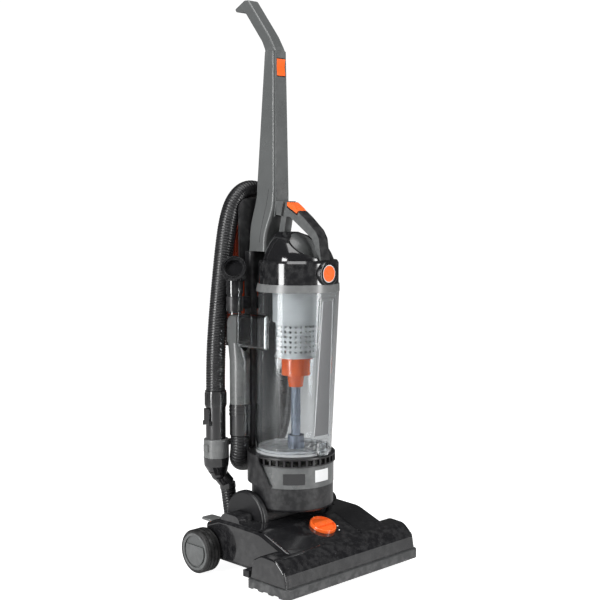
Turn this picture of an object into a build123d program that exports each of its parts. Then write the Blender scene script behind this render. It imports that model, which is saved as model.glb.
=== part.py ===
"""Bagless upright vacuum cleaner: floor nozzle, tilting body, clear dust cup, hose, cord and tools.

Units are millimetres. The front faces -Y, +X is to the right for someone behind the machine, and +Z is up.
The parts are laid out about the middle of the dust cup's seat, and then moved along Y by FOOTPRINT_SHIFT,
so that the frame's origin is the middle of the footprint on the floor.
"""

from build123d import *
from math import cos, pi, radians, sin, tan
import os

# ---------------------------------------------------------------- driving dimensions
FOOTPRINT_SHIFT = 15.45
RUNNING_FIT = 0.05
BODY_GAP = 0.4
SEAM_GAP = 0.3
SHELL = 3.0

NOZZLE_HALF_WIDTH = 177.4
NOZZLE_FRONT = -169.0
NOZZLE_BACK = -76.5
SEAM_HEIGHT = 31.6
BODY_HALF_WIDTH = 138.0
BODY_BACK = 103.0
DECK_FRONT = 18.0
OPENING_HALF_WIDTH = 99.0
OPENING_FRONT = -26.0
OPENING_FLOOR = 36.0
BUMPER_PROUD = 7.0
BUMPER_BOTTOM = 13.0

PIVOT_Y = 30.0
PIVOT_Z = 104.0
TRUNNION_RADIUS = 8.0
BOSS_RADIUS = 11.5
BRACKET_X = (103.0, 110.0)
STUB_RADIUS = 14.5
STUB_LENGTH = 54.0

WHEEL_RADIUS = 42.2
WHEEL_Y = 88.0
WHEEL_X = (141.8, 174.0)
AXLE_RADIUS = 4.0
PEDAL_PIN_Y = 88.0
PEDAL_PIN_Z = 80.0

ROLLER_RADIUS = 9.0
ROLLER_Y = -62.0
ROLLER_X = (78.0, 100.0)
CARRIAGE_HALF_WIDTH = 108.0
DIAL_Y = -87.0
DIAL_Z = 93.0
DIAL_SLOPE = 20.0
DIAL_RADIUS = 26.0

BRUSH_Y = -122.0
BRUSH_Z = 36.0
BRUSH_CORE_RADIUS = 18.0
BRUSH_TIP_RADIUS = 28.0
BRUSH_HALF_LENGTH = 148.0
BRUSH_BEARING_X = (150.0, 158.0)
SOLE_BARS = (-111, -37, 37, 111)
SCREW_PLACES = [(-158, -88), (158, -88), (-158, -155), (158, -155), (0, -87)]
BELT_X = (113.0, 125.0)
MOTOR_PULLEY_RADIUS = 4.5
BRUSH_PULLEY_RADIUS = 20.0
BELT_THICKNESS = 1.5

BARREL_Y = -4.0
BARREL_RADIUS = 81.0
BARREL_BOTTOM = 124.0
COVER_BOTTOM = 170.0
RING_BOTTOM = 212.0
RING_TOP = 230.3
RING_RADIUS = 84.0
RING_SLOTS = 36
HOUSING_RADIUS = 47.0
HOUSING_HALF_WIDTH = 84.0
HIP_RADIUS = 54.0
HIP_OUTER_X = 96.0
MOTOR_RADIUS = 38.0
MOTOR_X = (-22.0, 62.0)
SHAFT_RADIUS = 4.0
FAN_X = (-66.0, -28.0)
FAN_RADIUS = 36.0

CUP_BOTTOM = 230.8
CUP_BOTTOM_Y = -6.8
CUP_BOTTOM_RADIUS = 74.5
CUP_TOP = 543.8
CUP_TOP_Y = -19.2
CUP_TOP_RADIUS = 79.9
CUP_WALL = 2.4
LATCH_PIN_Y = -86.6
LATCH_PIN_Z = 246.0
LID_Y = -21.0
LID_RADIUS = 77.5
COLLAR_TOP = 559.0
SEPARATOR_Y = -13.5
INLET_X = (-86.0, -48.0)
INLET_Z = (434.0, 500.0)
INLET_FACE = 59.0

SPINE_HALF_WIDTH = 40.0
SPINE_FRONT = 70.0
SPINE_BACK = 95.0
SPINE_BOTTOM = 172.0
SPINE_FOOT = 222.0
SPINE_TOP = 618.0
PLATE_HALF_WIDTH = 54.0

SOCKET_TOP = 700.0
HANDLE_BEND = 1004.0
SWITCH_Z = (957.0, 989.0)
SWITCH_PIVOT_Y = 33.0

DUCT_X = -67.0
DUCT_Y = 75.0
DUCT_RADIUS = 20.0
DUCT_BOTTOM = 320.0
CUFF_BOTTOM = 257.0

HOSE_RADIUS = 19.0
CUFF_X = -98.0
CUFF_Y = 112.0
CUFF_TOP = 345.0
SLEEVE_X = -97.0
TAB_PIN_X = -121.1
TAB_PIN_Z = 283.0
SLEEVE_TOP = 250.0
SLEEVE_BOTTOM = 213.0
LOWER_HOSE_RADIUS = 15.0
LOWER_HOSE_TOP = (-74.0, 104.0, 148.0)
LOWER_HOSE_BOTTOM = (-66.0, 97.0, 62.0)
SPIGOT_RADIUS = 18.0
SPIGOT_TOP = 59.6

WAND_X = -84.0
WAND_Y = 70.0
WAND_RADIUS = 12.5
WAND_Z = (500.0, 566.0)
HOLDER_TOP = 532.0

LOWER_HOOK_Z = 335.0
UPPER_HOOK_Z = 634.0
HOOK_RADIUS = 15.0
CORD_RADIUS = 3.9
WINDING_INNER = 16.0
WINDING_OUTER = 40.0
WINDING_Y = (100.0, 139.0)
HOOK_END_Y = 145.0

# The long hose: down from the cup's inlet duct, behind the body, up the right side, over the top and
# down the left side to its cuff.
HOSE_ROUTE = [
    (DUCT_X, DUCT_Y, CUFF_BOTTOM),
    (DUCT_X, DUCT_Y, 230),
    (-60, 88, 207),
    (-36, 105, 194),
    (-6, 116, 191),
    (24, 119, 195),
    (54, 119, 209),
    (76, 118, 234),
    (87, 117, 268),
    (92, 116, 325),
    (93, 115, 402),
    (88, 115, 480),
    (80, 115, 560),
    (75, 115, 630),
    (64, 115, 680),
    (45, 115, 718),
    (15, 115, 740),
    (-19, 115, 738),
    (-46, 115, 714),
    (-61, 115, 676),
    (-71, 115, 622),
    (-80, 115, 556),
    (-90, 114, 480),
    (CUFF_X, CUFF_Y, 405),
    (CUFF_X, CUFF_Y, CUFF_TOP),
]
# The power cord's free stretches: from the strain relief up into the winding, and out of it to the plug.
CORD_LEAD_ROUTE = [(30, 120.5, 246), (30, 120.5, 262), (28.5, 121.5, 280), (27.5, 119.5, 302)]
CORD_TAIL_ROUTE = [(-37, 119.5, 560), (-47, 120, 536), (-54, 121, 512), (-54, 121, 484)]


# ---------------------------------------------------------------- helpers
def block(x, y, z):
    """A box given by its (low, high) limits along each axis."""
    size = Box(x[1] - x[0], y[1] - y[0], z[1] - z[0])
    return Pos((x[0] + x[1]) / 2, (y[0] + y[1]) / 2, (z[0] + z[1]) / 2) * size


def rod(start, end, radius):
    """A round bar between two points."""
    direction = Vector(*end) - Vector(*start)
    plane = Plane(origin=start, z_dir=direction)
    return extrude(plane * Circle(radius), amount=direction.length)


def across(x, y, z, radius):
    """A round bar along X, x being its (low, high) limits."""
    return rod((x[0], y, z), (x[1], y, z), radius)


def column(x, y, z, radius):
    """A round bar along Z, z being its (low, high) limits."""
    return rod((x, y, z[0]), (x, y, z[1]), radius)


def frustum(z, lower, upper):
    """A cone between two heights; lower and upper are each (y, radius) on the mid-plane."""
    sections = [Pos(0, y, height) * Circle(radius) for height, (y, radius) in zip(z, (lower, upper))]
    return loft(sections)


def side_face(points, radii=0.0):
    """A closed face in the YZ plane from (y, z) points, with rounded corners where radii are given."""
    return make_face(FilletPolyline(*[(0, y, z) for y, z in points], radius=radii, close=True))


def side_slab(face, x):
    """A face of the YZ plane extruded between two x limits."""
    return Pos(x[0], 0, 0) * extrude(face, amount=x[1] - x[0], dir=(1, 0, 0))


def rounded_bar(x, y, z, radius):
    """A box whose four vertical edges are rounded."""
    middle = Pos((x[0] + x[1]) / 2, (y[0] + y[1]) / 2, z[0])
    return extrude(middle * RectangleRounded(x[1] - x[0], y[1] - y[0], radius), amount=z[1] - z[0])


def mirrored(shape):
    """The shape and its mirror image on the other side of the machine."""
    return shape + mirror(shape, about=Plane.YZ)


def fillet_where(shape, test, radius):
    """Fillets the edges whose centre passes the test."""
    return fillet([edge for edge in shape.edges() if test(edge.center())], radius)


def route_radii(points):
    """Arc radii for a route: 0.45 of the shorter run at each corner over the tangent of half the turn."""
    radii = []
    for before, corner, after in zip(points, points[1:], points[2:]):
        first = Vector(*corner) - Vector(*before)
        second = Vector(*after) - Vector(*corner)
        turn = radians(first.get_angle(second))
        radii.append(0.45 * min(first.length, second.length) / tan(turn / 2))
    return radii


def routed_tube(name, points, radius):
    """A solid tube along straight runs joined by tangent arcs."""
    radii = route_radii(points)
    path = FilletPolyline(*points, radius=radii)
    section = Plane(origin=points[0], z_dir=path % 0) * Circle(radius)
    shape = sweep(section, path=path)
    ratio = shape.volume / (pi * radius**2 * path.length)
    print(name, "length", round(path.length, 1), "radii", [round(r) for r in radii])
    print(name, "volume over section times length", round(ratio, 4))
    return shape


def write(name, shape):
    """Moves a sub-part into the footprint's frame and writes its STEP file."""
    export_step(Pos(0, FOOTPRINT_SHIFT, 0) * shape, f"parts/{name}.step")


# ---------------------------------------------------------------- floor nozzle: outer covers
def nozzle_face():
    """The rounded cross-section of the wide nozzle at the front."""
    points = [
        (NOZZLE_FRONT, SEAM_HEIGHT),
        (-164, 58),
        (-142, 77),
        (-105, 79),
        (-82, 66),
        (NOZZLE_BACK, SEAM_HEIGHT),
    ]
    return side_face(points, [0, 14, 24, 24, 14, 0])


def body_face():
    """The side outline of the hood behind and over the nozzle, up to the rear deck."""
    points = [
        (NOZZLE_FRONT, SEAM_HEIGHT),
        (-163, 58),
        (-145, 73),
        (-58, 104.5),
        (DECK_FRONT, 107),
        (DECK_FRONT, SEAM_HEIGHT),
    ]
    return side_face(points, [0, 20, 24, 60, 0, 0])


def deck_face():
    """The side outline of the deck over the rear wheels."""
    front = DECK_FRONT + SEAM_GAP
    points = [(front, SEAM_HEIGHT), (front, 107), (60, 106), (BODY_BACK - 4, 92), (BODY_BACK, SEAM_HEIGHT)]
    return side_face(points, [0, 0, 26, 10, 0])


def shouldered(face):
    """A body outline at full width with its two long upper edges rounded."""
    solid = side_slab(face, (-BODY_HALF_WIDTH, BODY_HALF_WIDTH))

    def on_shoulder(middle):
        long_edge = abs(abs(middle.X) - BODY_HALF_WIDTH) < 0.5
        return long_edge and middle.Z > SEAM_HEIGHT + 12 and middle.Y > -140

    edges = [e for e in solid.edges() if on_shoulder(e.center()) and abs((e % 0.5).Y) > 0.5]
    return fillet(edges, 9)


def shoulder_cavity(face):
    """The inside of a body outline, leaving walls beside and in front of the tilting body."""
    inset = BODY_HALF_WIDTH - SHELL
    cavity = side_slab(offset(face, -SHELL), (-inset, inset))
    beside = OPENING_HALF_WIDTH + SHELL
    return cavity - block((-beside, beside), (OPENING_FRONT - SHELL, BODY_BACK + 1), (0, 200))


def body_opening():
    """The space between the two shoulders for the tilting body."""
    sides = (-OPENING_HALF_WIDTH, OPENING_HALF_WIDTH)
    return block(sides, (OPENING_FRONT, BODY_BACK + 20), (OPENING_FLOOR, 200))


def trunnion_stub(inset=0.0):
    """The long rounded cover over each pivot; inset gives the space inside it."""
    outline = Plane(origin=(0, PIVOT_Y, PIVOT_Z), x_dir=(0, 1, 0), z_dir=(1, 0, 0))
    slot = outline * SlotOverall(STUB_LENGTH - 2 * inset, 2 * (STUB_RADIUS - inset))
    length = BODY_HALF_WIDTH - 4 - inset - OPENING_HALF_WIDTH - (SHELL if inset else 0)
    start = OPENING_HALF_WIDTH + (SHELL if inset else 0)
    return mirrored(Pos(start, 0, 0) * extrude(slot, amount=length, dir=(1, 0, 0)))


def dial_seat():
    """The plane of the height dial, sloping down to the front."""
    slope = radians(DIAL_SLOPE)
    return Plane(origin=(0, DIAL_Y, DIAL_Z), x_dir=(1, 0, 0), z_dir=(0, -sin(slope), cos(slope)))


def make_hood():
    """The glossy top of the nozzle and body, open below, with the seat for the dial."""
    half = NOZZLE_HALF_WIDTH - 8
    nozzle = side_slab(nozzle_face(), (-half, half))
    inside = side_slab(offset(nozzle_face(), -SHELL), (-half - 1, half + 1))
    inside += block((-half - 1, half + 1), (NOZZLE_FRONT + SHELL + 1, NOZZLE_BACK - SHELL - 1), (0, 50))
    body = shouldered(body_face())
    inside += shoulder_cavity(body_face())
    inset = BODY_HALF_WIDTH - SHELL
    inside += block((-inset, inset), (-150, OPENING_FRONT - SHELL), (0, 50))
    inside += mirrored(block((OPENING_HALF_WIDTH + SHELL, inset), (-60, DECK_FRONT + 1), (0, 103)))
    stub_front = block((-150, 150), (-60, DECK_FRONT), (90, 130))
    hood = nozzle + body + (trunnion_stub() & stub_front)
    hood -= inside
    hood -= trunnion_stub(2.5) + body_opening()
    hood -= mirrored(across((90, 103), PIVOT_Y, PIVOT_Z, 20))
    seat = dial_seat()
    hood -= seat * Pos(4, -12, 8) * Box(116, 80, 16)
    hood += extrude(seat * Circle(DIAL_RADIUS + 6), amount=-6)
    hood -= extrude(seat * Circle(6 + RUNNING_FIT), amount=30, both=True)
    return hood


def make_rear_deck():
    """The deck behind the pivot, with the collar round the hose spigot."""
    deck = shouldered(deck_face())
    inset = BODY_HALF_WIDTH - SHELL
    inside = shoulder_cavity(deck_face())
    beside_x = (OPENING_HALF_WIDTH + SHELL, inset)
    inside += mirrored(block(beside_x, (DECK_FRONT, BODY_BACK - SHELL - 1), (0, 90)))
    inside += block((-inset, inset), (DECK_FRONT, BODY_BACK - SHELL), (0, OPENING_FLOOR))
    stub_back = block((-150, 150), (DECK_FRONT + SEAM_GAP, 80), (90, 130))
    deck += trunnion_stub() & stub_back
    deck -= inside
    deck -= trunnion_stub(2.5) + body_opening()
    deck -= block((-150, 150), (DECK_FRONT, DECK_FRONT + SHELL + 1), (0, 200)) & inside_of_deck_front()
    deck -= mirrored(across((90, 103), PIVOT_Y, PIVOT_Z, 20))
    deck -= mirrored(across((130, 140), WHEEL_Y, WHEEL_RADIUS, AXLE_RADIUS + 3))
    deck -= block((-134, -104), (80, 110), (60, 120))
    x, y, _ = LOWER_HOSE_BOTTOM
    deck += column(x, y, (SEAM_HEIGHT, OPENING_FLOOR), SPIGOT_RADIUS + SHELL)
    return deck - column(x, y, (0, 60), SPIGOT_RADIUS + SEAM_GAP)


def inside_of_deck_front():
    """The clear section just behind the seam between the hood and the deck."""
    inset = BODY_HALF_WIDTH - SHELL
    beside = OPENING_HALF_WIDTH + SHELL
    return mirrored(block((beside, inset - 4), (DECK_FRONT, 30), (0, 103)))


def make_end_caps():
    """The two caps that close the nozzle's ends."""
    cap = side_slab(nozzle_face(), (NOZZLE_HALF_WIDTH - 7.6, NOZZLE_HALF_WIDTH))

    def on_outer_rim(middle):
        return middle.X > NOZZLE_HALF_WIDTH - 0.1 and middle.Z > SEAM_HEIGHT + 5

    return mirrored(fillet_where(cap, on_outer_rim, 3))


def make_bumper():
    """The soft strip along the foot of the nozzle and round its ends."""
    half = NOZZLE_HALF_WIDTH + 3.6
    front = NOZZLE_FRONT - BUMPER_PROUD
    z = (BUMPER_BOTTOM, SEAM_HEIGHT - SEAM_GAP)
    outer = block((-half, half), (front, NOZZLE_BACK + 2), z)
    corners = [e for e in outer.edges().filter_by(Axis.Z) if e.center().Y < NOZZLE_FRONT]
    outer = fillet(corners, 10)
    top_rim = [e for e in outer.edges() if e.center().Z > z[1] - 0.1 and e.center().Y < NOZZLE_BACK]
    outer = fillet(top_rim, 2.5)
    bumper = outer - block((-half + 7.6, half - 7.6), (NOZZLE_FRONT + 5, NOZZLE_BACK + 10), (0, 60))
    for step in range(3):
        notch = across((half - 20, half + 20), NOZZLE_FRONT + 22 + 27 * step, BUMPER_BOTTOM - 7, 11)
        bumper -= mirrored(notch)
    return bumper


# ---------------------------------------------------------------- floor nozzle: inside and underneath
def make_chassis():
    """The base's underside: ribs, axle carriers, the pivot's bearings and the hose spigot."""
    half = NOZZLE_HALF_WIDTH - 5.4
    top = SEAM_HEIGHT - SEAM_GAP
    front, back = NOZZLE_FRONT + 7, NOZZLE_BACK - 2
    chassis = block((-half, half), (front, back), (11, top))
    chassis -= block((-half + SHELL, half - SHELL), (front + SHELL, back - SHELL), (14, 60))
    chassis -= block((-152, 152), (-152, -93), (0, 20))
    chassis += block((-BODY_HALF_WIDTH, BODY_HALF_WIDTH), (back - 1, BODY_BACK), (27.5, top))
    room = CARRIAGE_HALF_WIDTH + 2
    chassis -= block((-room, room), (ROLLER_Y - 13, ROLLER_Y + 13), (20, 40))
    x, y, z = LOWER_HOSE_BOTTOM
    chassis += column(x, y, (28, SPIGOT_TOP), SPIGOT_RADIUS)
    chassis -= column(x, y, (20, z + 1), SPIGOT_RADIUS - 5)
    chassis += mirrored(block((112, 133), (WHEEL_Y - 9, WHEEL_Y + 9), (28, 53)))
    chassis -= across((-150, 150), WHEEL_Y, WHEEL_RADIUS, AXLE_RADIUS)
    bracket = block(BRACKET_X, (PIVOT_Y - BOSS_RADIUS, PIVOT_Y + BOSS_RADIUS), (28, PIVOT_Z))
    bracket += across(BRACKET_X, PIVOT_Y, PIVOT_Z, BOSS_RADIUS)
    chassis += mirrored(bracket)
    chassis -= mirrored(across((90, 130), PIVOT_Y, PIVOT_Z, TRUNNION_RADIUS + RUNNING_FIT))
    chassis += mirrored(block((148, 156), (-48, -32), (19, 28)) + block((130, 156), (-48, -32), (27.5, top)))
    return chassis


def make_soleplate():
    """The plate round the suction slot, with cross bars and countersinks for its screws."""
    plate = block((-166, 166), (-160, -82), (8, 10.7))
    plate -= block((-148, 148), (-150, -94), (0, 20))
    for x in SOLE_BARS:
        plate += block((x - 2, x + 2), (-151, -93), (8, 10.7))
    for x, y in SCREW_PLACES:
        plate -= column(x, y, (0, 20), 4.3)
    return plate


def make_base_screws():
    """The slotted screw heads, just below the plate's face."""
    screws = []
    for x, y in SCREW_PLACES:
        slot = block((x - 5, x + 5), (y - 0.5, y + 0.5), (8, 9.1))
        screws.append(column(x, y, (8.2, 10.7), 4) - slot)
    return Compound(children=screws)


def make_axle_pins():
    """The two stub axles of the rear wheels and the release pedal's hinge pin."""
    stubs = mirrored(across((112.5, 171.5), WHEEL_Y, WHEEL_RADIUS, AXLE_RADIUS - 0.02))
    return stubs + across((-134.5, -103), PEDAL_PIN_Y, PEDAL_PIN_Z, 2 - RUNNING_FIT)


def make_brush_bearings():
    """The two blocks that carry the ends of the brush roll."""
    bearing = block(BRUSH_BEARING_X, (BRUSH_Y - 10, BRUSH_Y + 10), (14.2, BRUSH_Z))
    bearing += across(BRUSH_BEARING_X, BRUSH_Y, BRUSH_Z, 10)
    bearing -= across((140, 170), BRUSH_Y, BRUSH_Z, 4 + RUNNING_FIT)
    return mirrored(bearing)


def make_brush_roll():
    """The core with its end pins, the belt's pulley groove and helical tufts of bristle on both halves."""
    core = across((-BRUSH_HALF_LENGTH, BELT_X[0] - 3), BRUSH_Y, BRUSH_Z, BRUSH_CORE_RADIUS)
    core += across((BELT_X[0] - 3, BELT_X[1] + 3), BRUSH_Y, BRUSH_Z, BRUSH_PULLEY_RADIUS - BODY_GAP)
    core += across((BELT_X[1] + 3, BRUSH_HALF_LENGTH), BRUSH_Y, BRUSH_Z, BRUSH_CORE_RADIUS)
    core += across((-BRUSH_BEARING_X[1], BRUSH_BEARING_X[1]), BRUSH_Y, BRUSH_Z, 4)
    tuft_length = BRUSH_TIP_RADIUS - BRUSH_CORE_RADIUS + 2
    for row in range(2):
        for step in range(22):
            x = -142 + 11.2 * step
            if min(abs(x - bar) for bar in SOLE_BARS) < 5:
                continue
            angle = radians(180 * row + 9 * step)
            root = (x, BRUSH_Y + 16 * cos(angle), BRUSH_Z + 16 * sin(angle))
            reach = 16 + tuft_length
            tip = (x, BRUSH_Y + reach * cos(angle), BRUSH_Z + reach * sin(angle))
            core += rod(root, tip, 2.2)
    return core


def belt_outline(extra):
    """The hull of the two pulleys, grown by extra, in the YZ plane."""
    dy, dz = BRUSH_Y - PIVOT_Y, BRUSH_Z - PIVOT_Z
    distance = (dy * dy + dz * dz) ** 0.5
    small, large = MOTOR_PULLEY_RADIUS + extra, BRUSH_PULLEY_RADIUS + extra
    lean = (small - large) / distance
    side = (1 - lean * lean) ** 0.5
    along = Vector(0, dy / distance, dz / distance)
    square = Vector(0, -dz / distance, dy / distance)
    motor, brush = Vector(0, PIVOT_Y, PIVOT_Z), Vector(0, BRUSH_Y, BRUSH_Z)
    corners = []
    for centre, radius in ((motor, small), (brush, large)):
        for sign in (1, -1):
            corners.append(centre + (along * lean + square * (side * sign)) * radius)
    straight = [(p.Y, p.Z) for p in (corners[0], corners[1], corners[3], corners[2])]
    hull = side_slab(side_face(straight), BELT_X)
    hull += across(BELT_X, PIVOT_Y, PIVOT_Z, small)
    hull += across(BELT_X, BRUSH_Y, BRUSH_Z, large)
    return hull


def make_drive_belt():
    """The flat belt from the motor's pulley to the brush roll."""
    return belt_outline(BELT_THICKNESS) - belt_outline(0)


def make_wheel_hub(x):
    """The hard plastic hub: a dished outer face, a ring, a chord rib and a raised axle cap."""
    hub = across(x, WHEEL_Y, WHEEL_RADIUS, 35.6)
    outside = x[0] if x[0] < 0 else x[1]
    inward = 1 if x[0] < 0 else -1
    face = tuple(sorted((outside, outside + inward * 3)))
    hub -= across(face, WHEEL_Y, WHEEL_RADIUS, 31) - across(face, WHEEL_Y, WHEEL_RADIUS, 27)
    hub -= across(face, WHEEL_Y, WHEEL_RADIUS, 27) & block((-200, 200), (0, 200), (WHEEL_RADIUS + 12, 100))
    hub += across(face, WHEEL_Y, WHEEL_RADIUS, 7)
    bore_x = (x[0] - 1, x[1] - 2) if x[0] > 0 else (x[0] + 2, x[1] + 1)
    hub -= across(bore_x, WHEEL_Y, WHEEL_RADIUS, AXLE_RADIUS + 0.02)
    return hub


def make_wheel_tyre(x):
    """The soft tread: a ring with rounded shoulders and shallow grooves round it."""
    tyre = across(x, WHEEL_Y, WHEEL_RADIUS, WHEEL_RADIUS)
    rims = [e for e in tyre.edges() if e.geom_type == GeomType.CIRCLE]
    tyre = fillet(rims, 4)
    tyre -= across((x[0] - 1, x[1] + 1), WHEEL_Y, WHEEL_RADIUS, 35.6)
    for step in range(1, 4):
        middle = x[0] + (x[1] - x[0]) * step / 4
        groove = across((middle - 0.8, middle + 0.8), WHEEL_Y, WHEEL_RADIUS, WHEEL_RADIUS + 1)
        tyre -= groove - across((middle - 1, middle + 1), WHEEL_Y, WHEEL_RADIUS, WHEEL_RADIUS - 1.2)
    return tyre


def make_roller_carriage():
    """The frame that holds the two front rollers and rises with the height dial."""
    half = CARRIAGE_HALF_WIDTH
    frame = block((-half, half), (ROLLER_Y - 10, ROLLER_Y + 10), (21, 24))
    for x in (ROLLER_X[0] - 4, ROLLER_X[1] + 1):
        frame += mirrored(block((x, x + 3), (ROLLER_Y - 5, ROLLER_Y + 5), (5, 24)))
    frame += block((-8, 8), (ROLLER_Y - 8, ROLLER_Y + 8), (23, 62))
    bore_x = (ROLLER_X[0] - 10, ROLLER_X[1] + 10)
    frame -= mirrored(across(bore_x, ROLLER_Y, ROLLER_RADIUS, 2.5 + RUNNING_FIT))
    return frame


def make_front_rollers():
    """The two small front rollers on one thin axle."""
    roller = across(ROLLER_X, ROLLER_Y, ROLLER_RADIUS, ROLLER_RADIUS)
    roller += across((ROLLER_X[0] - 5, ROLLER_X[1] + 5), ROLLER_Y, ROLLER_RADIUS, 2.5)
    return mirrored(roller)


def make_height_dial():
    """The round dial with a finger ridge across it and a short stem through the hood."""
    seat = dial_seat()
    dial = extrude(seat.offset(BODY_GAP) * Circle(DIAL_RADIUS), amount=6.5)
    dial = fillet([e for e in dial.edges() if seat.to_local_coords(e.center()).Z > 6], 1.6)
    rim_cut = extrude(seat.offset(4.4) * Circle(DIAL_RADIUS - 3), amount=8)
    ridge = extrude(seat.offset(3) * RectangleRounded(2 * DIAL_RADIUS - 7, 11, 4), amount=5.2)
    dial = dial - rim_cut + (ridge & extrude(seat * Circle(DIAL_RADIUS - 2.5), amount=20))
    return dial + extrude(seat.offset(-11) * Circle(6), amount=14)


def make_release_pedal():
    """The foot pedal at the left rear corner that frees the tilting body."""
    pad = block((-133.4, -104.6), (84, 117), (93, 97))
    corners = [e for e in pad.edges().filter_by(Axis.Z) if e.center().Y > 100]
    pad = fillet(corners, 5)
    pad += block((-128, -110), (84, 92), (80, 94))
    pad += across((-132, -106), PEDAL_PIN_Y, PEDAL_PIN_Z, 4)
    return pad - across((-140, -100), PEDAL_PIN_Y, PEDAL_PIN_Z, 2)


# ---------------------------------------------------------------- tilting body
def barrel(z, radius, y=BARREL_Y):
    """An upright cylinder on the body's axis."""
    return column(0, y, z, radius)


def make_lower_housing():
    """The black lower casing: the motor's cross cylinder, the barrel over it, hip covers and trunnions."""
    half = HOUSING_HALF_WIDTH
    outer = across((-half, half), PIVOT_Y, PIVOT_Z, HOUSING_RADIUS)
    outer += barrel((BARREL_BOTTOM, COVER_BOTTOM), BARREL_RADIUS - 1)
    outer = fillet_where(outer, lambda c: abs(c.Z - BARREL_BOTTOM) < 0.1 and c.Y < -20, 6)
    inner = across((-half + SHELL, half - SHELL), PIVOT_Y, PIVOT_Z, HOUSING_RADIUS - SHELL)
    inner += barrel((BARREL_BOTTOM + SHELL, COVER_BOTTOM + 1), BARREL_RADIUS - 1 - SHELL)
    hips = across((half, HIP_OUTER_X), PIVOT_Y, PIVOT_Z, HIP_RADIUS)
    hips = fillet_where(hips, lambda c: c.X > HIP_OUTER_X - 0.1, 5)
    hips -= across((0, half), PIVOT_Y, PIVOT_Z, HIP_RADIUS + 1)
    hips -= column(0, BARREL_Y, (COVER_BOTTOM, 300), 130)
    trunnion = across((HIP_OUTER_X - 1, BRACKET_X[1] - 1), PIVOT_Y, PIVOT_Z, TRUNNION_RADIUS)
    housing = outer - inner + mirrored(hips + trunnion)
    housing -= across((60, 120), PIVOT_Y, PIVOT_Z, SHAFT_RADIUS + 1)
    return housing


def make_motor_cover():
    """The grey barrel under the cup with its recessed window at the front left."""
    cover = barrel((COVER_BOTTOM + SEAM_GAP, RING_BOTTOM - SEAM_GAP), BARREL_RADIUS)
    cover -= barrel((COVER_BOTTOM - 1, RING_BOTTOM + 1), BARREL_RADIUS - SHELL)
    window = Pos(0, BARREL_Y, 189) * Rot(0, 0, 228) * Pos(BARREL_RADIUS, 0, 0) * Box(5, 46, 22)
    window -= barrel((0, 300), BARREL_RADIUS - 1.8)
    cover -= window
    return cover


def make_vent_ring():
    """The ring that the cup sits on, with radial exhaust slots all round."""
    ring = barrel((RING_BOTTOM, RING_TOP), RING_RADIUS)
    ring = fillet_where(ring, lambda c: c.Z > RING_TOP - 0.1, 3)
    ring -= barrel((0, RING_TOP - 3), RING_RADIUS - 7)
    ring -= barrel((0, 400), 44)
    slots = []
    for step in range(RING_SLOTS):
        turn = Pos(0, BARREL_Y, RING_BOTTOM + 8) * Rot(0, 0, 360 * step / RING_SLOTS)
        slots.append(turn * Pos(RING_RADIUS - 1, 0, 0) * Box(14, 10.6, 11))
    return ring - slots


def make_exhaust_filter():
    """The ring of filter behind the exhaust slots."""
    return barrel((178, 209), 74) - barrel((170, 220), 52)


def make_motor_can():
    """The motor's steel can."""
    can = across(MOTOR_X, PIVOT_Y, PIVOT_Z, MOTOR_RADIUS)
    can = fillet_where(can, lambda c: abs(c.X) > 1, 4)
    feet = block((0, 40), (PIVOT_Y - 8, PIVOT_Y + 8), (PIVOT_Z - 45, PIVOT_Z - 30))
    feet &= across((-10, 60), PIVOT_Y, PIVOT_Z, HOUSING_RADIUS - SHELL - 0.05)
    return can + feet - across((-100, 100), PIVOT_Y, PIVOT_Z, SHAFT_RADIUS + RUNNING_FIT)


def make_motor_rotor():
    """The shaft that runs through the right trunnion, with the fan and the belt pulley."""
    rotor = across((FAN_X[0] - 6, BELT_X[1] + 2), PIVOT_Y, PIVOT_Z, SHAFT_RADIUS)
    rotor += across((FAN_X[0], FAN_X[0] + 3), PIVOT_Y, PIVOT_Z, FAN_RADIUS)
    rotor += across((FAN_X[1] - 3, FAN_X[1]), PIVOT_Y, PIVOT_Z, FAN_RADIUS)
    for step in range(9):
        blade = block((FAN_X[0] + 2, FAN_X[1] - 2), (10, FAN_RADIUS - 1), (-1.2, 1.2))
        turn = Rot(360 * step / 9, 0, 0)
        rotor += Pos(0, PIVOT_Y, PIVOT_Z) * turn * blade
    rotor += across((FAN_X[0] + 1, FAN_X[1] - 1), PIVOT_Y, PIVOT_Z, 12)
    rotor += across((BELT_X[0] - 2, BELT_X[1] + 2), PIVOT_Y, PIVOT_Z, MOTOR_PULLEY_RADIUS - 0.1)
    return rotor


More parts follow.
